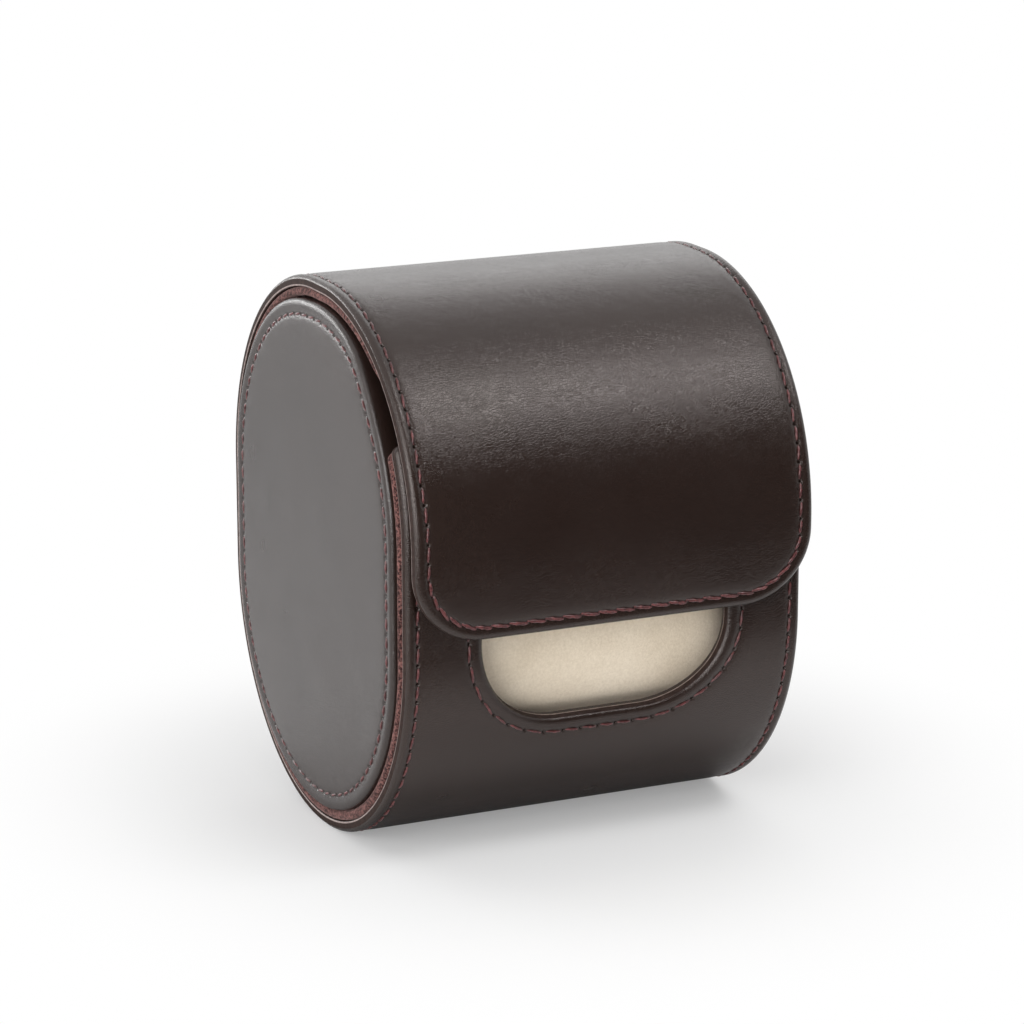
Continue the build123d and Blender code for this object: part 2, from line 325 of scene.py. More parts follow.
def points_inside(p, polygon):
    inside = np.zeros(len(p), bool)
    a = polygon
    b = np.roll(polygon, -1, 0)
    for i in range(len(a)):
        crosses = (a[i, 1] > p[:, 1]) != (b[i, 1] > p[:, 1])
        if crosses.any():
            x = (b[i, 0] - a[i, 0]) * (p[:, 1] - a[i, 1]) / (b[i, 1] - a[i, 1] + 1e-12) + a[i, 0]
            inside ^= crosses & (p[:, 0] < x)
    return inside


def snap(points, cuts):
    """Moves the nearest points of a ring onto the cut lines, where the ring crosses them."""
    points = points.copy()
    for cut in cuts:
        side = np.sign(points[:, 0] - cut)
        cross = np.nonzero(side * np.roll(side, -1) < 0)[0]
        for i in cross:
            j = (i + 1) % len(points)
            near = i if abs(points[i, 0] - cut) < abs(points[j, 0] - cut) else j
            points[near, 0] = cut
    return points


def triangulate(loop, extra, cuts=()):
    """Triangles inside the closed loop through the extra points, with edges along the cuts."""
    points = np.vstack([loop, extra]) if len(extra) else loop
    n = len(loop)
    edges = [(i, (i + 1) % n) for i in range(n)]
    for cut in cuts:
        on = np.nonzero(abs(points[:, 0] - cut) < 1e-9)[0]
        on = on[np.argsort(points[on, 1])]
        edges += [(int(on[i]), int(on[i + 1])) for i in range(len(on) - 1)]
    made = delaunay_2d_cdt([Vector(p) for p in points], edges, [], 1, 1e-6)
    if len(made[0]) != len(points):
        raise RuntimeError(f"triangulation changed the points: {len(points)} to {len(made[0])}")
    order = np.array([o[0] for o in made[3]])
    return order[np.array(made[2])]


class Sheet:
    """Collects the vertices and faces of one closed plate."""

    def __init__(self):
        self.co, self.flat, self.faces, self.slots, self.count = [], [], [], [], 0

    def add(self, co, flat):
        self.co.append(co)
        self.flat.append(flat)
        self.count += len(co)
        return np.arange(self.count - len(co), self.count)

    def strip(self, a, b, slot):
        """Quads between two rings of the same number of points, outwards to the left."""
        n = len(a)
        for i in range(n):
            j = (i + 1) % n
            self.faces.append((a[i], a[j], b[j], b[i]))
            self.slots.append(slot)

    def field(self, index, triangles, flip):
        for t in triangles:
            f = tuple(int(index[k]) for k in t)
            self.faces.append(f[::-1] if flip else f)
            self.slots.append(0)


def plate(outline, offset, place, rim, top, bottom, face=0.0, cuts=(), holes=None):
    """A closed plate. rim lists (distance in, depth) from the underside's edge to the face's,
    and may give the material slot of the strip up to each, which is 0 elsewhere.
    top lists (share of offset, height) for the face, which lies at depth `face` further in;
    bottom gives the underside's depth."""
    sheet = Sheet()
    offset = np.broadcast_to(offset, (len(outline.points),))
    rings = []
    for distance, depth, *_ in rim:
        flat = snap(outline.ring(distance), cuts)
        value = depth(flat) if callable(depth) else np.full(len(flat), depth)
        rings.append((sheet.add(place(flat, value), flat), flat))
    for (a, _), (b, _), end in zip(rings, rings[1:], rim[1:]):
        sheet.strip(a, b, end[2] if len(end) > 2 else 0)
    # the face
    loop = rings[-1][1]
    extra, height = [], []
    for share, h in top:
        flat = snap(outline.ring(share * offset), cuts)
        good = outline.distance(flat) > share * offset - RING_SLACK
        extra.append(flat[good])
        height.append(np.full(good.sum(), h))
    keep = (top[-1][0] * offset.max() if top else rim[-1][0]) + GRID * 0.5
    extra += [interior_grid(outline, keep, GRID, cuts), cut_points(outline, keep, GRID, cuts)]
    extra = np.vstack(extra)
    height = np.concatenate(height + [np.zeros(len(extra) - sum(map(len, height)))])
    height -= face
    if holes is not None:
        away = np.concatenate([np.hypot(*(extra[i:i + BLOCK, None] - holes[None]).T).min(0)
                               for i in range(0, len(extra), BLOCK)])
        extra, height = extra[away > HOLE_CLEAR], height[away > HOLE_CLEAR]
        points, sink = hole_points(holes)
        extra = np.vstack([extra, points])
        at_seam = float(np.interp(1.0, *zip(*top)))
        height = np.concatenate([height, at_seam - face - sink])
    triangles = triangulate(loop, extra, cuts)
    index = np.r_[rings[-1][0], sheet.add(place(extra, -height), extra)]
    sheet.field(index, triangles, False)
    # the underside
    loop = rings[0][1]
    keep = rim[0][0] + GRID_BELOW * 0.5
    extra = np.vstack([interior_grid(outline, keep, GRID_BELOW, cuts),
                       cut_points(outline, keep, GRID_BELOW, cuts)])
    triangles = triangulate(loop, extra, cuts)
    depth = bottom(extra) if callable(bottom) else np.full(len(extra), bottom)
    index = np.r_[rings[0][0], sheet.add(place(extra, depth), extra)]
    sheet.field(index, triangles, True)
    return sheet


def build(sheet, name, materials, ranges=None, turn=False):
    """Meshes of a plate: one object, or one for each (name, low, high) range of lengths.
    turn faces it the other way."""
    co = np.vstack(sheet.co) * M
    flat = np.vstack(sheet.flat)
    made = {}
    for piece, low, high in ranges or [(name, -FAR, FAR)]:
        faces, slots = [], []
        for f, slot in zip(sheet.faces, sheet.slots):
            middle = sum(flat[k, 0] for k in f) / len(f)
            if low < middle < high:
                faces.append(f[::-1] if turn else f)
                slots.append(slot)
        used = sorted({k for f in faces for k in f})
        new = {k: i for i, k in enumerate(used)}
        mesh = bpy.data.meshes.new(piece)
        mesh.from_pydata(co[used], [], [tuple(new[k] for k in f) for f in faces])
        mesh.polygons.foreach_set("material_index", slots)
        mesh.polygons.foreach_set("use_smooth", [True] * len(faces))
        for m in materials:
            mesh.materials.append(m)
        bm = bmesh.new()
        bm.from_mesh(mesh)
        open_edges = [e for e in bm.edges if e.is_boundary]
        if open_edges:
            for e in open_edges:
                e.smooth = False
            filled = bmesh.ops.holes_fill(bm, edges=open_edges, sides=0)
            for f in filled["faces"]:
                f.smooth = False
                f.material_index = CUT_FACE
        bm.to_mesh(mesh)
        bm.free()
        made[piece] = link(piece, mesh)
    return made if ranges else made[name]


def link(name, data):
    obj = bpy.data.objects.new(name, data)
    bpy.context.scene.collection.objects.link(obj)
    return obj


def closed_mesh(name, verts, faces):
    """A mesh whose faces all look outwards; verts are in metres."""
    mesh = bpy.data.meshes.new(name)
    mesh.from_pydata(verts, [], faces)
    bm = bmesh.new()
    bm.from_mesh(mesh)
    bmesh.ops.recalc_face_normals(bm, faces=bm.faces)
    bm.to_mesh(mesh)
    bm.free()
    return mesh


def tube_faces(rows, sides, base=0):
    """Quads between rows of points round a bar, and a face at each of its ends."""
    faces = []
    for i in range(rows - 1):
        for j in range(sides):
            k = (j + 1) % sides
            low, high = base + i * sides, base + (i + 1) * sides
            faces.append((low + j, low + k, high + k, high + j))
    last = base + (rows - 1) * sides
    faces.append(tuple(base + j for j in range(sides)))
    faces.append(tuple(last + j for j in reversed(range(sides))))
    return faces


# ---------------------------------------------------------------- thread
THREAD_RADIUS = 0.205
THREAD_END = 0.66   # share of the radius left where the thread goes into its hole
SIDES = 8
THREAD_STEPS = 11
DIVE = 0.62         # a stitch's ends lie this far below the surface it crosses
ARCH = 0.68         # and its middle this far above its ends
PLY = 0.16          # how far the two plies bulge
TWIST = 5.2 * math.pi
SLANT = 0.18        # a saddle stitch leans: its ends lie this far off the line
INSIDE_HOLE = 0.06  # a tight stitch stops this far inside its holes
LOOSE = 0.45        # the loosest stitches are this much thicker
LOOSE_OVERLAP = 0.5     # they reach this much further along the seam
LOOSE_LEAN = 0.9        # and lean this share more
SUNK = 0.22         # the stitches lie this far below the leather's face


def stitch_holes(outline, offset):
    """The needle holes, on the line that lies `offset` in from the edge."""
    offset = np.broadcast_to(offset, (len(outline.points),))
    line = outline.points + outline.inward * offset[:, None]
    return line[::STEPS]


def thread(name, holes, place, material, keep=lambda p: True, depth=None, weight=None):
    """One thread: a slanted, two-ply stitch between each pair of holes. depth gives the
    surface that the stitches lie on, from behind when it is set; weight thickens some."""
    verts, faces = [], []
    t = np.linspace(0, 1, THREAD_STEPS)
    arch = np.sin(np.pi * t)
    lift = -DIVE + ARCH * arch**0.42
    radius = THREAD_RADIUS * (THREAD_END + (1 - THREAD_END) * arch**0.5)
    angle = np.arange(SIDES) * 2 * math.pi / SIDES
    for a, b in zip(holes, np.roll(holes, -1, 0)):
        if math.dist(a, b) > 2 * STITCH_PITCH or not keep((a + b) / 2):
            continue
        thick = weight((a + b) / 2) if weight else 1.0
        d = (b - a) / math.dist(a, b)
        side = np.array((-d[1], d[0]))
        loose = (thick - 1) / LOOSE
        inside = INSIDE_HOLE - LOOSE_OVERLAP * loose
        lean = SLANT * (1 + LOOSE_LEAN * loose)
        ends = a + d * inside + side * lean, b - d * inside - side * lean
        base = len(verts) * SIDES
        for k in range(THREAD_STEPS):
            centre = ends[0] + (ends[1] - ends[0]) * t[k]
            ply = thick * (1 + PLY * np.cos(2 * angle - TWIST * t[k]))
            across = radius[k] * ply * np.cos(angle)
            up = lift[k] + radius[k] * ply * np.sin(angle)
            flat = centre + across[:, None] * side
            verts.append(place(flat, depth(flat) + up if depth else SUNK - up))
        faces += tube_faces(THREAD_STEPS, SIDES, base)
    mesh = closed_mesh(name, np.vstack(verts) * M, faces)
    mesh.materials.append(material)
    mesh.polygons.foreach_set("use_smooth", [True] * len(faces))
    return link(name, mesh)


# ---------------------------------------------------------------- materials
class Nodes:
    """Builds a node tree step by step. A value is a number, a colour or another node's output."""

    def __init__(self, tree):
        self.tree = tree

    def put(self, socket, value):
        if isinstance(value, bpy.types.NodeSocket):
            self.tree.links.new(value, socket)
        else:
            socket.default_value = value

    def node(self, kind, **inputs):
        n = self.tree.nodes.new(kind)
        for key, value in inputs.items():
            self.put(n.inputs[key.replace("_", " ")], value)
        return n

    def operation(self, kind, operation, *values):
        n = self.node(kind)
        n.operation = operation
        for socket, value in zip(n.inputs, values):
            self.put(socket, value)
        return n

    def math(self, operation, *values):
        return self.operation("ShaderNodeMath", operation, *values).outputs["Value"]

    def step(self, value, low, high, to_low=0.0, to_high=1.0):
        n = self.node("ShaderNodeMapRange")
        n.interpolation_type = "SMOOTHSTEP"
        for socket, v in zip(n.inputs, (value, low, high, to_low, to_high)):
            self.put(socket, v)
        return n.outputs[0]

    def mix_shaders(self, share, a, b, output):
        n = self.node("ShaderNodeMixShader")
        for socket, value in zip(n.inputs, (share, a.outputs[0], b.outputs[0])):
            self.put(socket, value)
        self.put(self.tree.nodes[output].inputs["Surface"], n.outputs[0])


class Material(Nodes):
    """A Principled material. Noise and cells are counted along a metre."""

    def __init__(self, name):
        self.material = bpy.data.materials.new(name)
        self.material.use_nodes = True
        super().__init__(self.material.node_tree)
        self.where = self.node("ShaderNodeTexCoord").outputs["Object"]

    def noise(self, scale, detail=3.0, rough=0.5, output="Fac"):
        n = self.node("ShaderNodeTexNoise", Scale=scale, Detail=detail, Roughness=rough,
                      Vector=self.where)
        return n.outputs[output]

    def fade(self, value, low, high):
        """0 below low, 1 above high, straight in between."""
        n = self.node("ShaderNodeValToRGB", Fac=value)
        for end, at, grey in zip(n.color_ramp.elements, (low, high), (0, 1)):
            end.position = at
            end.color = (grey, grey, grey, 1)
        return n.outputs["Color"]

    def mix(self, share, a, b):
        """A colour between a and b: this node's sockets 6 and 7, and 2 on the way out."""
        n = self.node("ShaderNodeMix")
        n.data_type = "RGBA"
        for socket, value in ((0, share), (6, (*a, 1)), (7, (*b, 1))):
            self.put(n.inputs[socket], value)
        return n.outputs[2]

    def bump(self, height, strength, distance, before=None):
        n = self.node("ShaderNodeBump", Strength=strength, Distance=distance, Height=height)
        if before:
            self.put(n.inputs["Normal"], before)
        return n.outputs["Normal"]

    def finish(self, **inputs):
        for key, value in inputs.items():
            self.put(self.tree.nodes["Principled BSDF"].inputs[key.replace("_", " ")], value)
        return self.material


def leather(name, dark, light, gloss=0.5, shine=(1, 1, 1, 1)):
    """Smooth calf: fine creases between grains, over a soft unevenness of colour and gloss."""
    n = Material(name)
    share = n.math("ADD", n.math("MULTIPLY", n.noise(38.0, 4.0, 0.55), 0.75),
                   n.math("MULTIPLY", n.noise(900.0, 3.0, 0.6), 0.25))
    colour = n.mix(n.fade(share, 0.38, 0.66), dark, light)
    rough = n.math("ADD", n.math("MULTIPLY", n.noise(120.0), 0.12), LEATHER_ROUGHNESS - 0.06)
    # the grains are cells whose places are pushed about, so that they aren't even
    push = n.operation("ShaderNodeVectorMath", "SCALE", n.noise(420.0, 2.0, output="Color"))
    n.put(push.inputs["Scale"], GRAIN_PUSH)
    warped = n.operation("ShaderNodeVectorMath", "ADD", n.where, push.outputs[0])
    grain = n.node("ShaderNodeTexVoronoi", Scale=2600.0, Vector=warped.outputs[0])
    grain.feature = "DISTANCE_TO_EDGE"
    creases = n.fade(grain.outputs["Distance"], 0.0, 0.22)
    normal = n.bump(n.noise(160.0, 2.0), 0.05, 0.0006)
    normal = n.bump(creases, 0.38, 0.00005, normal)
    return n.finish(Base_Color=colour, Roughness=rough, Normal=normal,
                    Specular_IOR_Level=gloss, Specular_Tint=shine)


def edge_paint(name, dark, light, roughness=0.42, gloss=0.5):
    """Burnished edge of the leather, with fine layers."""
    n = Material(name)
    fibre = n.noise(1300.0, 3.0, 0.65)
    colour = n.mix(n.fade(fibre, 0.35, 0.7), dark, light)
    normal = n.bump(fibre, 0.3, 0.0001)
    return n.finish(Base_Color=colour, Roughness=roughness, Normal=normal,
                    Specular_IOR_Level=gloss)


def suede(name, dark, light, nap=1.0, sheen=0.2, tint=(1, 1, 1), speckle=0.45,
          tufts=2100.0, fade=(0.34, 0.68)):
    """Short nap: broad marks of the hand, and tufts that the speckle brings out."""
    n = Material(name)
    hand = n.noise(55.0, 3.0, 0.6)
    tuft = n.noise(tufts, 2.0, 0.7)
    share = n.math("ADD", n.math("MULTIPLY", hand, 1 - speckle), n.math("MULTIPLY", tuft, speckle))
    colour = n.mix(n.fade(share, *fade), dark, light)
    normal = n.bump(n.noise(2600.0, 2.0, 0.7), 0.5 * nap, 0.0002)
    normal = n.bump(hand, 0.2 * nap, 0.0008, normal)
    return n.finish(Base_Color=colour, Roughness=0.92, Normal=normal, Specular_IOR_Level=0.15,
                    Sheen_Weight=sheen, Sheen_Roughness=0.45, Sheen_Tint=(*tint, 1))


def thread_material(name, dark, light):
    """Waxed linen thread, uneven along its fibres."""
    n = Material(name)
    ply = n.noise(2400.0, 2.0, 0.6)
    colour = n.mix(n.fade(ply, 0.35, 0.65), dark, light)
    normal = n.bump(ply, 0.4, 0.0001)
    return n.finish(Base_Color=colour, Roughness=0.28, Normal=normal, Specular_IOR_Level=0.55,
                    Sheen_Weight=0.08, Sheen_Roughness=0.4)


BROWN = (0.0170, 0.0095, 0.0075), (0.0218, 0.0126, 0.0100)
LEATHER_ROUGHNESS = 0.245
GRAIN_PUSH = 0.0007
LEATHER_MATERIAL = leather("leather_brown", *BROWN, shine=(1.0, 0.93, 0.905, 1.0))
END_LEATHER = leather("leather_brown_end", *BROWN, gloss=0.58)
# The pale edge paint is the raw edge's colour, lightened into a painted highlight along the
# corners that catch the light.
EDGE_PAINTED_HIGHLIGHT = edge_paint("leather_edge", (0.16, 0.115, 0.105), (0.34, 0.265, 0.245))
WALL_MATERIAL = edge_paint("leather_edge_raw", (0.018, 0.010, 0.008), (0.04, 0.024, 0.020),
                           0.75, 0.15)
DARK_EDGE = edge_paint("leather_edge_dark", (0.012, 0.008, 0.007), (0.03, 0.019, 0.016))
BURGUNDY = suede("microsuede_burgundy", (0.014, 0.005, 0.005), (0.205, 0.096, 0.086),
                 tint=(1.0, 0.7, 0.65), speckle=0.85, tufts=2300.0, fade=(0.43, 0.62))
CREAM = suede("suede_cream", (0.68, 0.575, 0.44), (0.86, 0.755, 0.61), nap=0.8, sheen=0.25)
THREAD = thread_material("thread_burgundy", (0.034, 0.007, 0.008), (0.155, 0.041, 0.041))


# ---------------------------------------------------------------- leather hide
CUTS = (S_SEAM_LOW, S_SEAM_HIGH)
STITCH_IN, STITCH_IN_TONGUE, STITCH_IN_NOTCH = 2.0, 2.3, 2.6
TONGUE_FROM = S_TONGUE - 10                 # where each begins
NOTCH_SIDE, NOTCH_END = NOTCH_HALF + 2, S_FRONT_LOW + 20
OFFSET_BLUR = 30            # times that the change from one to the next is smoothed
HEAVY_RUN = 10.0            # the stitches grow over this length into the tongue


def split(case, hinge, flap):
    """A layer's three pieces and the lengths between which each lies."""
    return [(case, -FAR, S_SEAM_LOW), (hinge, *CUTS), (flap, S_SEAM_HIGH, FAR)]


def ride_split(case, hinge, flap):
    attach(case, "case")
    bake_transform(hinge)
    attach(flap, "flap")


def hide_offsets(outline):
    """Distance of the stitches from the edge: wider round the notch and the tongue."""
    s, x = outline.points.T
    offset = np.full(len(s), STITCH_IN)
    offset[s > TONGUE_FROM] = STITCH_IN_TONGUE
    offset[(abs(x) < NOTCH_SIDE) & (s < NOTCH_END)] = STITCH_IN_NOTCH
    for _ in range(OFFSET_BLUR):
        offset = (np.roll(offset, 1) + 2 * offset + np.roll(offset, -1)) / 4
    return offset


def heavy(p):
    """The stitches round the flap's lower edge are pulled less tight."""
    return 1.0 + LOOSE * float(rise(p[0], S_TONGUE, HEAVY_RUN))


def hide_threads(names, **how):
    """The thread of the hide's seam, in the pieces of the split hide."""
    made = []
    for name, low, high in split(*names):
        made.append(thread(name, hide_holes, on_hide, THREAD,
                           lambda p, low=low, high=high: low < p[0] < high, **how))
    ride_split(*made)


hide = Outline(hide_outline())
hide_offset = hide_offsets(hide)
hide_holes = stitch_holes(hide, hide_offset)
# Its rim, from underside to face: (distance in, depth, material slot). Slot 1 is the thin pale
# line at the cut edge's inner corner: raw edge, painted lighter as the highlight where it catches
# the light.
RIM = [(0.3, LEATHER - GLUE), (0.02, LEATHER - 0.14, 2), (-0.03, LEATHER - 0.4, 1),
       (0.0, LEATHER - 0.5, 2), (0.0, 0.95, 2), (0.07, 0.68, 2)]
sheet = plate(hide, hide_offset, on_hide, RIM, SEWN, LEATHER - GLUE, cuts=CUTS,
              holes=hide_holes)
pieces = build(sheet, "hide", [LEATHER_MATERIAL, EDGE_PAINTED_HIGHLIGHT, WALL_MATERIAL],
               split("case_leather", "hinge_leather", "flap_leather_cover"))
ride_split(*pieces.values())
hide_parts("outer_wrap")
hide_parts("flap_leather")
hide_threads(("case_thread", "hinge_thread", "flap_thread"), weight=heavy)


# ---------------------------------------------------------------- lining
BINDING_DEPTH = 2.95        # the wall is pressed down to this where the notch is bound
BINDING_EASE = (1.0, 7.0)   # from here on it grows to its full thickness, over this length
VALLEY, VALLEY_REACH = 1.0, 6.0     # how much thinner it is at the hinge, and how far round it
DRAWN_BACK = 1.0            # the lining is this much narrower on the flap's front
DRAWN_ALONG = (24, 9)       # from here on the flap's front, over this length
LINING_GAP = 0.6            # it stops this far short of the mouth
LINING_TIP = 0.9            # and of the tongue's tip
FLAP_SHY = 0.05             # and this far inside the flap's sides


def lining_depth(flat):
    """Depth of the lining's inner face: thinner at the hinge, down the tongue and where the
    notch is bound."""
    s, x = flat.T
    forward = rise(s, S_FLAP_FRONT, S_TONGUE - S_FLAP_FRONT)
    flap = FLAP_DEPTH_TOP + (FLAP_DEPTH_TONGUE - FLAP_DEPTH_TOP) * forward
    from_notch = np.hypot(np.maximum(abs(x) - NOTCH_HALF, 0),
                          np.maximum(s - front_length(NOTCH_BOTTOM), 0))
    wall = WALL - (WALL - BINDING_DEPTH) * (1 - rise(from_notch, *BINDING_EASE))
    depth = np.where(s < S_HINGE, wall, flap)
    return depth - VALLEY * (1 - rise(abs(s - S_HINGE), 0, VALLEY_REACH))


def lining_middle(share):
    upper = LEATHER + GLUE
    return lambda flat: upper + share * (lining_depth(flat) - upper)


def lining_side(s):
    """Half width of the lining: proud on the case, drawn back down the flap's front."""
    up = rise(s, S_SEAM_LOW, S_SEAM_HIGH - S_SEAM_LOW)
    forward = rise(s - S_FLAP_FRONT, *DRAWN_ALONG)
    return HALF + LINING_PROUD * (1 - up) - FLAP_SHY * up - DRAWN_BACK * forward


lining = Outline(hide_outline(lining_side, LINING_TIP, STRIP, LINING_GAP), smooth=3)
# Its turned edge, from the inner face round to the leather: (distance in, share of the way).
TURNED = [(0.45, 0.95), (0.16, 0.82), (0.0, 0.62), (0.0, 0.38), (0.16, 0.18), (0.45, 0.05),
          (0.9, 0.0)]
LINING_RIM = [(0.9, lining_depth)] + [(d, lining_middle(share)) for d, share in TURNED]
sheet = plate(lining, 1.0, on_hide, LINING_RIM, [], lining_depth, face=LEATHER + GLUE,
              cuts=CUTS)
pieces = build(sheet, "lining", [BURGUNDY, BURGUNDY],
               split("case_lining", "hinge_lining", "flap_lining_cover"))
ride_split(*pieces.values())
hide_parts("barrel_lining", "barrel_shell", "front_magnets")
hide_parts("flap_lining", "flap_board", "flap_keepers")
hide_threads(("case_thread_inner", "hinge_thread_inner", "flap_thread_inner"),
             depth=lining_depth)


# ---------------------------------------------------------------- binding of the notch
def swept(name, outline, keep, section, place, materials):
    """A bar along the kept part of an outline. section lists (distance in, depth, material
    slot of the side that starts there)."""
    index = np.nonzero(keep)[0]
    gap = np.nonzero(np.diff(index) > 1)[0]
    if len(gap):
        index = np.r_[index[gap[0] + 1:], index[:gap[0] + 1]]
    co = np.stack([place(outline.ring(d)[index], depth) for d, depth, _ in section], 1)
    mesh = closed_mesh(name, co.reshape(-1, 3) * M, tube_faces(len(index), len(section)))
    for m in materials:
        mesh.materials.append(m)
    slots = [slot for *_, slot in section]
    mesh.polygons.foreach_set("material_index", slots * (len(index) - 1) + [slots[0]] * 2)
    return link(name, mesh)


# Slot 1 is the pale line along the binding's inner corner: raw edge, painted lighter as a
# highlight.
BINDING = [(1.25, 2.02, 0), (0.4, 2.02, 0), (0.24, 2.14, 0), (0.24, BINDING_DEPTH - 0.2, 1),
           (0.42, BINDING_DEPTH + 0.04, 0), (1.25, BINDING_DEPTH + 0.04, 0)]
BOUND_SIDE = NOTCH_HALF + 1.8
BOUND_FROM, BOUND_TO = 0.45, S_FRONT_LOW + 30
hide_s, hide_x = hide.points.T
at_notch = (abs(hide_x) < BOUND_SIDE) & (hide_s > BOUND_FROM) & (hide_s < BOUND_TO)
binding = swept("notch_binding", hide, at_notch, BINDING, on_hide, [DARK_EDGE, EDGE_PAINTED_HIGHLIGHT])
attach(binding, "case")
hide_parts("notch_edge_strip")


# ---------------------------------------------------------------- end panels
PANEL_INSET = WALL + GLUE
# How far the oval swells under the flap: (angle forward of straight up, swell).
PANEL_FULLER = [(-9, 0.0), (0, 0.1), (10, 0.7), (18, 1.25), (26, 1.65), (33, 1.7), (38, 1.3),
                (42, 0.8), (48, 0.3), (55, 0.0)]
panel_outline = Outline(oval_outline(PANEL_INSET, PANEL_FULLER), smooth=3)
PANEL_OFFSET = 2.65
PANEL_RIM = [(0.3, PANEL_FACE - PANEL_BACK), (0.0, PANEL_FACE - PANEL_BACK - 0.3), (0.0, 0.72),
             (0.05, 0.52)]
PANEL_SEWN = [(0.05, -0.36), (0.11, -0.2), (0.18, -0.09), (0.28, 0.0), (0.42, 0.05),
              (0.54, 0.02), (0.66, -0.04), (0.78, -0.11), (0.9, -0.18), (1.0, -0.22),
              (1.08, -0.17), (1.18, -0.09), (1.35, -0.04), (1.7, 0.0)]
panel_holes = stitch_holes(panel_outline, PANEL_OFFSET)
for side, name in ((-1, "left"), (1, "right")):
    sheet = plate(panel_outline, PANEL_OFFSET, on_end(side), PANEL_RIM, PANEL_SEWN,
                  PANEL_FACE - PANEL_BACK, holes=panel_holes)
    panel = build(sheet, f"end_leather_{name}", [END_LEATHER, EDGE_PAINTED_HIGHLIGHT], turn=side < 0)
    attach(panel, "case")
    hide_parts(f"end_panel_{name}", f"end_board_{name}")
    seam = thread(f"end_thread_{name}", panel_holes, on_end(side), THREAD)
    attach(seam, "case")

# The inside of each end: suede on a thin pad, with a round edge towards the room inside.
inside_outline = Outline(oval_outline(PANEL_INSET, [(-90, 0.0), (90, 0.0)]), smooth=3)
INSIDE_FACE = 5.0
INSIDE_UNEVEN = 0.05
INSIDE_RIM = [(1.3, INSIDE_FACE), (0.7, INSIDE_FACE - 0.06), (0.25, INSIDE_FACE - 0.22),
              (0.0, INSIDE_FACE - 0.5), (0.0, INSIDE_FACE - 0.75)]


def inside_depth(flat):
    """The pad's face: a little uneven, as it was pressed on by hand."""
    y, z = flat.T
    return INSIDE_FACE - INSIDE_UNEVEN * (1 + np.sin(y / 6.1 + 0.8) * np.cos(z / 7.3))


for side, name in ((-1, "left"), (1, "right")):
    sheet = plate(inside_outline, 1.0, on_end(side), INSIDE_RIM, [], inside_depth,
                  face=INSIDE_FACE - 0.75)
    cover = build(sheet, f"end_lining_cover_{name}", [BURGUNDY, BURGUNDY], turn=side < 0)
    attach(cover, "case")
    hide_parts(f"end_lining_{name}")


# ---------------------------------------------------------------- cushion
CUSHION_HALF = 30.0
CUSHION_CAP = 32.0
CUSHION_LOW = 36.479
CUSHION_HIGH = 41.279
CUSHION_BACK = -1.9
CUSHION_START = 0.9     # the blank is this much smaller all round
CUSHION_EDGE = 5.0
CUSHION_RING = 120      # points of the blank round the pad
VOXEL = 0.0042
PRESSURE = 4.0
CLOTH_FRAMES = 20
SWELL_LIMIT = 1.6
SEAM_AT = 27.2          # the end pieces are sewn to the sleeve this far from the middle
SEAM_PULL, SEAM_WIDTH = 0.75, 0.75
SEAM_ROUND = (20, 8)    # it pulls on the skin all round, and not across the ends
PUCKER = 0.35           # the seam's depth varies by this share, in small folds
FOLDS = 46
ROLL_IN = 0.8           # the pad is this much lower behind the notch's lower edge,
ROLL_BELOW = (-26.8, 3.4)       # which fades in downwards from here,
ROLL_ABOVE = (8, 8)             # out again towards the base,
ROLL_FRONT = (12, 8)            # and in towards the front


def cushion_ring(inset, x):
    """One ring of the blank, from the back over the top and down the front, in metres."""
    radius = CUSHION_CAP - CUSHION_START - inset
    straight = CUSHION_HIGH - CUSHION_LOW
    whole = 2 * math.pi * radius + 2 * straight
    ring = []
    for i in range(CUSHION_RING):
        run = whole * i / CUSHION_RING
        if run < math.pi * radius:
            a = run / radius
            y, z = radius * math.cos(a), CUSHION_HIGH + radius * math.sin(a)
        elif run < math.pi * radius + straight:
            y, z = -radius, CUSHION_HIGH - (run - math.pi * radius)
        elif run < 2 * math.pi * radius + straight:
            a = (run - straight) / radius
            y, z = radius * math.cos(a), CUSHION_LOW + radius * math.sin(a)
        else:
            y, z = radius, CUSHION_LOW + run - 2 * math.pi * radius - straight
        ring.append((x * M, (y + CUSHION_BACK) * M, z * M))
    return ring


def cushion_blank():
    """Closed form of the pad before it swells: rounded where the ends are sewn on."""
    half = CUSHION_HALF - CUSHION_START
    profile = [(-half + CUSHION_EDGE * (1 - math.cos(a)), CUSHION_EDGE * (1 - math.sin(a)))
               for a in np.linspace(0, math.pi / 2, 7)]
    middle = [(x, 0.0) for x in np.linspace(-half + CUSHION_EDGE, half - CUSHION_EDGE, 15)[1:-1]]
    profile += middle + [(-x, inset) for x, inset in reversed(profile)]
    verts = [v for x, inset in profile for v in cushion_ring(inset, x)]
    faces = tube_faces(len(profile), CUSHION_RING)
    return link("cushion_pad", closed_mesh("cushion_pad", verts, faces))


def apply_modifiers(obj):
    depsgraph = bpy.context.evaluated_depsgraph_get()
    mesh = bpy.data.meshes.new_from_object(obj.evaluated_get(depsgraph))
    obj.modifiers.clear()
    old, obj.data = obj.data, mesh
    bpy.data.meshes.remove(old)


def coordinates(mesh):
    co = np.empty(len(mesh.vertices) * 3)
    mesh.vertices.foreach_get("co", co)
    return co.reshape(-1, 3)


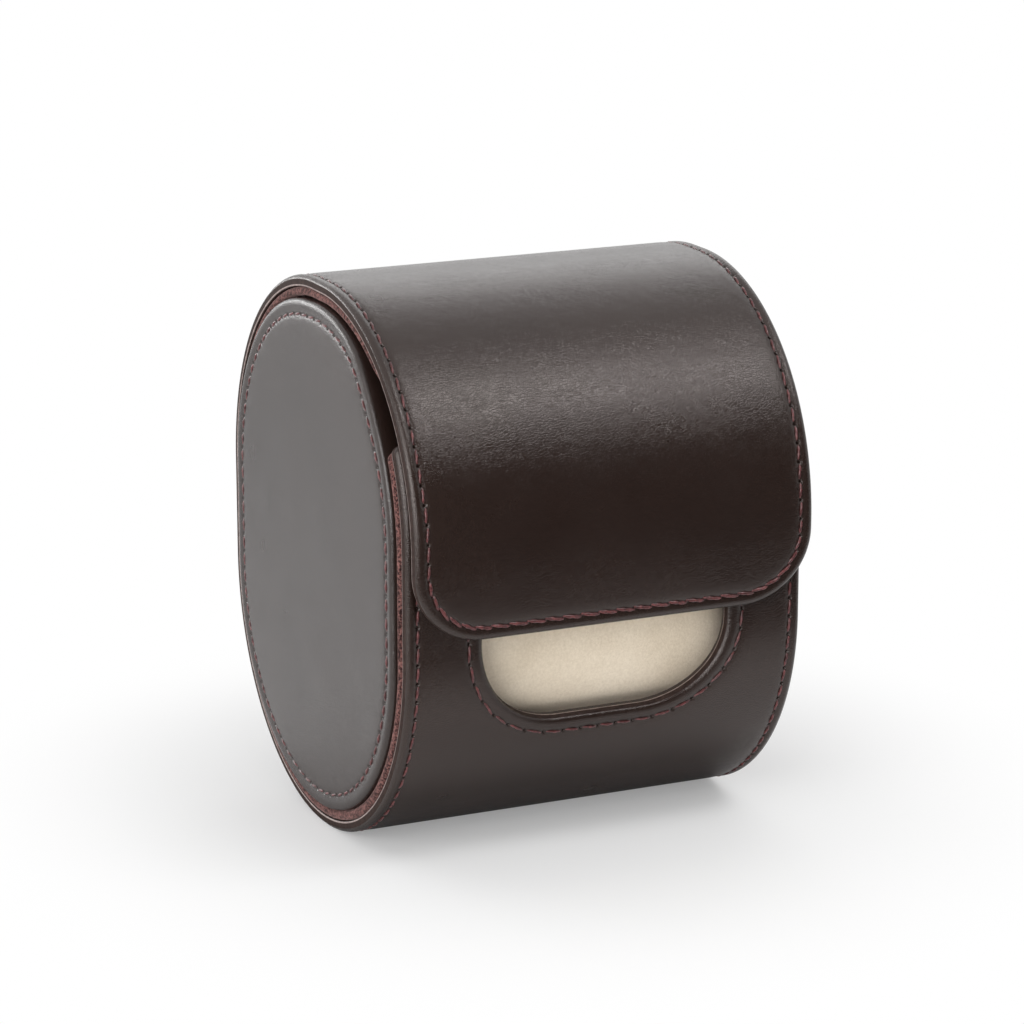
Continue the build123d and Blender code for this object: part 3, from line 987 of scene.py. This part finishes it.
def puff(obj):
    """Cloth under pressure swells the blank and settles its skin."""
    remesh = obj.modifiers.new("remesh", "REMESH")
    remesh.mode = "VOXEL"
    remesh.voxel_size = VOXEL
    apply_modifiers(obj)
    before = coordinates(obj.data)
    cloth = obj.modifiers.new("cloth", "CLOTH")
    cloth.settings.use_pressure = True
    cloth.settings.uniform_pressure_force = PRESSURE
    cloth.settings.effector_weights.gravity = 0.0
    cloth.settings.quality = 6
    scene = bpy.context.scene
    for frame_number in range(1, CLOTH_FRAMES + 1):
        scene.frame_set(frame_number)
    apply_modifiers(obj)
    scene.frame_set(1)
    move = coordinates(obj.data) - before
    size = np.linalg.norm(move, axis=1, keepdims=True)
    after = before + move * np.minimum(1, SWELL_LIMIT * M / np.maximum(size, 1e-9))
    obj.data.vertices.foreach_set("co", after.ravel())
    smooth = obj.modifiers.new("subdivision", "SUBSURF")
    smooth.levels = smooth.render_levels = 2
    apply_modifiers(obj)


def sew(obj):
    """Draws the skin in along the two seams and behind the notch's lower edge, and keeps
    the pad inside its own space."""
    co = coordinates(obj.data) / M
    x, y, z = co.T
    middle = np.clip(z, CUSHION_LOW, CUSHION_HIGH)
    away = np.stack([y - CUSHION_BACK, z - middle], -1)
    radius = np.maximum(np.hypot(*away.T), 1e-6)
    around = np.arctan2(away[:, 0], away[:, 1])
    pucker = 1 + PUCKER * np.sin(around * FOLDS + 2 * np.sin(around * 7)) * np.sign(x)
    near_seam = np.exp(-((abs(x) - SEAM_AT) / SEAM_WIDTH)**2) * rise(radius, *SEAM_ROUND)
    low_front = rise(-z, *ROLL_BELOW) * rise(z, *ROLL_ABOVE) * rise(-y, *ROLL_FRONT)
    target = np.minimum(radius, CUSHION_CAP) - SEAM_PULL * near_seam * pucker
    target -= ROLL_IN * low_front
    y = CUSHION_BACK + away[:, 0] * target / radius
    z = middle + away[:, 1] * target / radius
    x = np.clip(x, -CUSHION_HALF, CUSHION_HALF)
    obj.data.vertices.foreach_set("co", (np.stack([x, y, z], -1) * M).ravel())
    obj.data.polygons.foreach_set("use_smooth", [True] * len(obj.data.polygons))
    obj.data.update()


pad = cushion_blank()
puff(pad)
sew(pad)
pad.data.materials.clear()
pad.data.materials.append(CREAM)
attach(pad, "cushion")
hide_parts("cushion_sleeve", "cushion_end_left", "cushion_end_right", "cushion_core")


# ---------------------------------------------------------------- camera
LENS = 134.49
EYE = Vector((-0.265383, -0.581208, 0.221201))
AHEAD = Vector((0.401880, 0.878693, -0.257666)).normalized()
RIGHT = Vector((0.909311, -0.416117, -0.000795)).normalized()

camera = link("camera", bpy.data.cameras.new("camera"))
camera.data.lens = LENS
camera.data.sensor_width = 36.0
camera.data.clip_start = 0.02
camera.data.clip_end = 20.0
rotation = Matrix((RIGHT, RIGHT.cross(AHEAD), -AHEAD)).transposed()
camera.matrix_world = Matrix.Translation(EYE) @ rotation.to_4x4()
bpy.context.scene.camera = camera


# ---------------------------------------------------------------- world and floor
FRONT_LEVEL = 0.53      # the world's light on the object from in front, behind and above
BACK_LEVEL = 0.5
TOP_LEVEL = 0.46
# Distances from the middle of the floor, in metres, over which a change takes place.
FLOOR_SHOWN = (0.042, 0.108)        # the camera sees plain white further out
FLOOR_NEAR = 0.25                   # the share of that white that it sees near the object
FLOOR_MIRRORED = (0.046, 0.078)     # mirrored rays see plain white further out
FLOOR_FADE = (0.15, 0.4)            # and there it is a little less bright
FLOOR_FAR = 0.82
UNDER = (0.026, 0.037)              # painted shade: round the roll's base the floor is darkened for mirrored rays, so the gap under the roll looks dark in the leather
UNDER_PAINTED_SHADE = 0.6
UNDER_LONG = 0.8                    # it is longer along the roll than across it


def is_camera(n):
    return n.node("ShaderNodeLightPath").outputs["Is Camera Ray"]


def is_mirrored(n):
    """1 for the rays that show the background in metal, gloss and glass."""
    path = n.node("ShaderNodeLightPath").outputs
    return n.math("MAXIMUM", path["Is Glossy Ray"], path["Is Transmission Ray"])


def make_world():
    """A white studio; its light on the object comes from all sides at about the same level."""
    world = bpy.data.worlds.new("studio")
    bpy.context.scene.world = world
    world.use_nodes = True
    n = Nodes(world.node_tree)
    where = n.node("ShaderNodeTexCoord").outputs["Generated"]
    axes = n.node("ShaderNodeSeparateXYZ", Vector=where).outputs
    round_about = n.step(axes["Y"], -0.62, 0.1, FRONT_LEVEL, BACK_LEVEL)
    above = n.math("MULTIPLY", n.step(axes["Z"], 0.35, 0.85), TOP_LEVEL)
    lit = n.node("ShaderNodeBackground", Color=(1, 1, 1, 1),
                 Strength=n.math("MAXIMUM", round_about, above))
    white = n.node("ShaderNodeBackground", Color=(1, 1, 1, 1), Strength=1.0)
    seen = n.math("MAXIMUM", is_camera(n), is_mirrored(n))
    n.mix_shaders(seen, lit, white, "World Output")


def make_floor():
    """A white floor that keeps the object's shadow and goes over into the white room."""
    bpy.ops.mesh.primitive_plane_add(size=4.0, location=(0, 0, -0.0002))
    obj = bpy.context.object
    obj.name = "floor"
    material = bpy.data.materials.new("floor_white")
    material.use_nodes = True
    obj.data.materials.append(material)
    n = Nodes(material.node_tree)
    where = n.node("ShaderNodeTexCoord").outputs["Object"]
    away = n.operation("ShaderNodeVectorMath", "LENGTH", where).outputs["Value"]
    axes = n.node("ShaderNodeSeparateXYZ", Vector=where).outputs
    camera_ray, mirrored_ray = is_camera(n), is_mirrored(n)
    along = n.math("MULTIPLY", n.math("ABSOLUTE", axes["X"]), UNDER_LONG)
    from_base = n.math("MAXIMUM", along, n.math("ABSOLUTE", axes["Y"]))
    # painted shade: mirrored rays see the floor darkened round the roll's base, standing in for
    # its contact shadow
    under = n.math("MULTIPLY", n.step(from_base, *UNDER, UNDER_PAINTED_SHADE, 0.0), mirrored_ray)
    tone = n.math("SUBTRACT", 1.0, under)
    colour = n.node("ShaderNodeCombineColor", Red=tone, Green=tone, Blue=tone).outputs[0]
    matte = n.node("ShaderNodeBsdfDiffuse", Color=colour)
    shown = n.math("MULTIPLY", n.step(away, *FLOOR_SHOWN, FLOOR_NEAR, 1.0), camera_ray)
    reflected = n.math("MULTIPLY", n.step(away, *FLOOR_MIRRORED), mirrored_ray)
    strength = n.math("MAXIMUM", n.step(away, *FLOOR_FADE, 1.0, FLOOR_FAR), camera_ray)
    white = n.node("ShaderNodeEmission", Strength=strength)
    n.mix_shaders(n.math("MAXIMUM", shown, reflected), matte, white, "Material Output")


make_world()
make_floor()


# ---------------------------------------------------------------- lamps and flags
FLAG_LEFT, FLAG_RIGHT, FLAG_NEAR, FLAG_FAR, FLAG_TOP = -0.7, 1.15, -0.106, -0.9, 1.45
FLAG_LIFT = 0.001       # the lying card is this far above the floor
LIGHT_TARGET = Vector((0, 0, 0.05))
KEY_SIDE, KEY_UP = 31, 54.5


def flag(name, corners):
    """A black card that only shows as a dark reflection in the leather's front."""
    mesh = bpy.data.meshes.new(name)
    mesh.from_pydata(corners, [], [(0, 1, 2, 3)])
    mesh.materials.append(FLAG_BLACK)
    obj = link(name, mesh)
    obj.visible_camera = obj.visible_diffuse = obj.visible_shadow = False
    obj.visible_transmission = False


def area_light(name, azimuth, elevation, distance, size, level):
    """A soft box seen from the object at these angles; level is how bright its face is."""
    a, e = math.radians(azimuth), math.radians(elevation)
    towards = Vector((math.sin(a) * math.cos(e), -math.cos(a) * math.cos(e), math.sin(e)))
    data = bpy.data.lights.new(name, "AREA")
    data.shape = "RECTANGLE"
    data.size, data.size_y = size
    data.energy = level * math.pi * size[0] * size[1]
    obj = link(name, data)
    obj.location = LIGHT_TARGET + towards * distance
    obj.rotation_euler = (-towards).to_track_quat("-Z", "Y").to_euler()
    obj.visible_camera = False
    return obj


FLAG_BLACK = Material("flag_black").finish(Base_Color=(0.02, 0.02, 0.02, 1), Roughness=1.0)
flag("flag_low", [(FLAG_LEFT, FLAG_FAR, FLAG_LIFT), (FLAG_RIGHT, FLAG_FAR, FLAG_LIFT),
                  (FLAG_RIGHT, FLAG_NEAR, FLAG_LIFT), (FLAG_LEFT, FLAG_NEAR, FLAG_LIFT)])
flag("flag_front", [(FLAG_LEFT, FLAG_FAR, 0.0), (FLAG_RIGHT, FLAG_FAR, 0.0),
                    (FLAG_RIGHT, FLAG_FAR, FLAG_TOP), (FLAG_LEFT, FLAG_FAR, FLAG_TOP)])
area_light("key", KEY_SIDE, KEY_UP, 1.0, (0.55, 0.3), 4.4)
# The rest of the key only adds shine, so that the lifted cushion doesn't clip to white. It is
# further back and as much larger, because of two lamps in one place only one would shine.
key_shine = area_light("key_shine", KEY_SIDE, KEY_UP, 1.1, (0.605, 0.33), 3.2)
key_shine.visible_diffuse = False
area_light("fill", -58, 14, 1.0, (0.9, 0.6), 4.8)
area_light("back", 155, 30, 1.2, (1.0, 0.5), 1.15)
area_light("low", -150, 10, 0.6, (0.35, 0.15), 6.0)

bpy.context.scene.view_settings.view_transform = "Standard"
